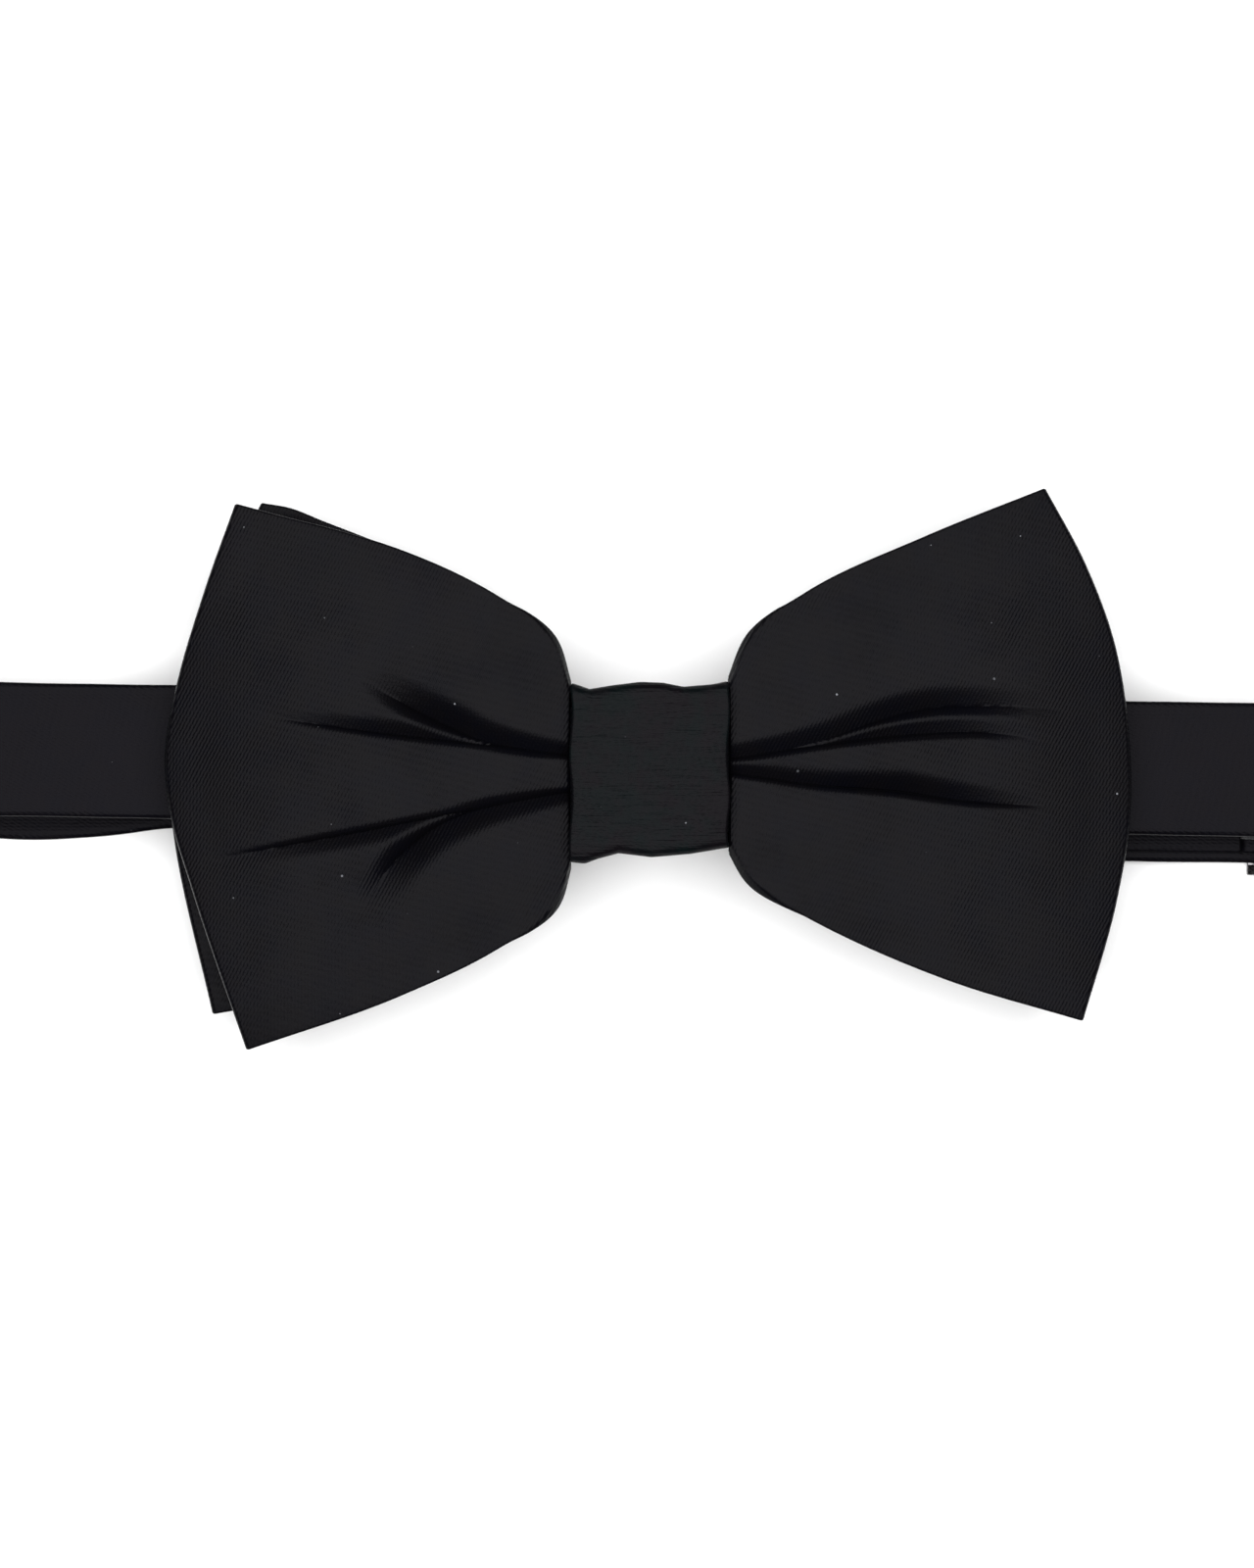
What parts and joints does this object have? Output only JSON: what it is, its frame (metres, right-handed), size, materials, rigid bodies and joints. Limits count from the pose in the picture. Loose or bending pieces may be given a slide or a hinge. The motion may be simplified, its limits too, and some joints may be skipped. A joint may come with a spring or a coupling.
{
  "type": "bow tie",
  "caption": "Pre-tied black satin bow tie: a double bow held by a wrapped knot, on an adjustable neck strap fastened with a hook and eye, lying flat.",
  "frame": {"origin": "on the table under the middle of the bow: the centre of the bounding box's underside, with the tie lying on its back", "axes": "+X towards the right end of the bow as it is looked at, +Y towards its top edge, +Z out of its front"},
  "size_m": [0.1962, 0.0696, 0.0252],
  "materials": {
    "bow_satin": "black satin weave, soft sheen",
    "knot_satin": "black satin weave, soft sheen",
    "strap_satin": "black satin weave, soft sheen",
    "interlining": "stiff woven interlining",
    "felt": "grey felt",
    "thread": "black polyester thread",
    "label_ribbon": "plain black woven ribbon",
    "black_nickel": "black nickel plate"
  },
  "bodies": {
    "bow": {"front_wing_left": "bow_satin", "front_wing_right": "bow_satin", "front_lining_left": "interlining", "front_lining_right": "interlining", "front_waist": "bow_satin", "rear_wing_left": "bow_satin", "rear_wing_right": "bow_satin", "rear_lining_left": "interlining", "rear_lining_right": "interlining", "rear_waist": "bow_satin", "gathering_thread": "thread", "knot_wrap": "knot_satin", "knot_padding": "felt", "knot_flap": "knot_satin", "knot_stitches": "thread", "front_strap": "strap_satin", "front_strap_right": "strap_satin", "left_fold": "strap_satin", "left_rear_run": "strap_satin", "hook_loop": "strap_satin", "hook_tack": "thread", "adjustable_run": "strap_satin", "ring_loop": "strap_satin", "return_run": "strap_satin", "strap_tack": "thread", "label": "label_ribbon", "label_stitches": "thread"},
    "adjuster": {"slide_adjuster": "black_nickel", "tail_loop": "strap_satin", "tail_tack": "thread"},
    "right_turn": {"right_fold": "strap_satin"},
    "ring": {"eye_ring": "black_nickel"},
    "hook": {"hook": "black_nickel"}
  },
  "joints": [
    {"name": "adjuster_slide", "type": "slide", "parent": "bow", "child": "adjuster", "axis": [0.9999, -0.0166, 0], "range_m": [-0.044, 0.005], "deforming": ["return_run"]},
    {"name": "right_turn_shift", "type": "slide", "parent": "bow", "child": "right_turn", "axis": [0.9999, -0.0166, 0], "range_m": [-0.0025, 0.022], "deforming": ["front_strap_right", "adjustable_run"]},
    {"name": "ring_swing", "type": "hinge", "parent": "bow", "child": "ring", "pos_m": [-0.02004, -0.00117, 0.00185], "axis": [0.0166, 0.9999, 0], "range_deg": [0, 25]},
    {"name": "hook_swing", "type": "hinge", "parent": "ring", "child": "hook", "pos_m": [-0.02614, -0.00107, 0.00185], "axis": [0.0166, 0.9999, 0], "range_deg": [-36, 0]}
  ],
  "couplings": [
    {"joint": "right_turn_shift", "follows": "adjuster_slide", "ratio": -0.5},
    {"joint": "hook_swing", "follows": "ring_swing", "ratio": -1.4357}
  ]
}
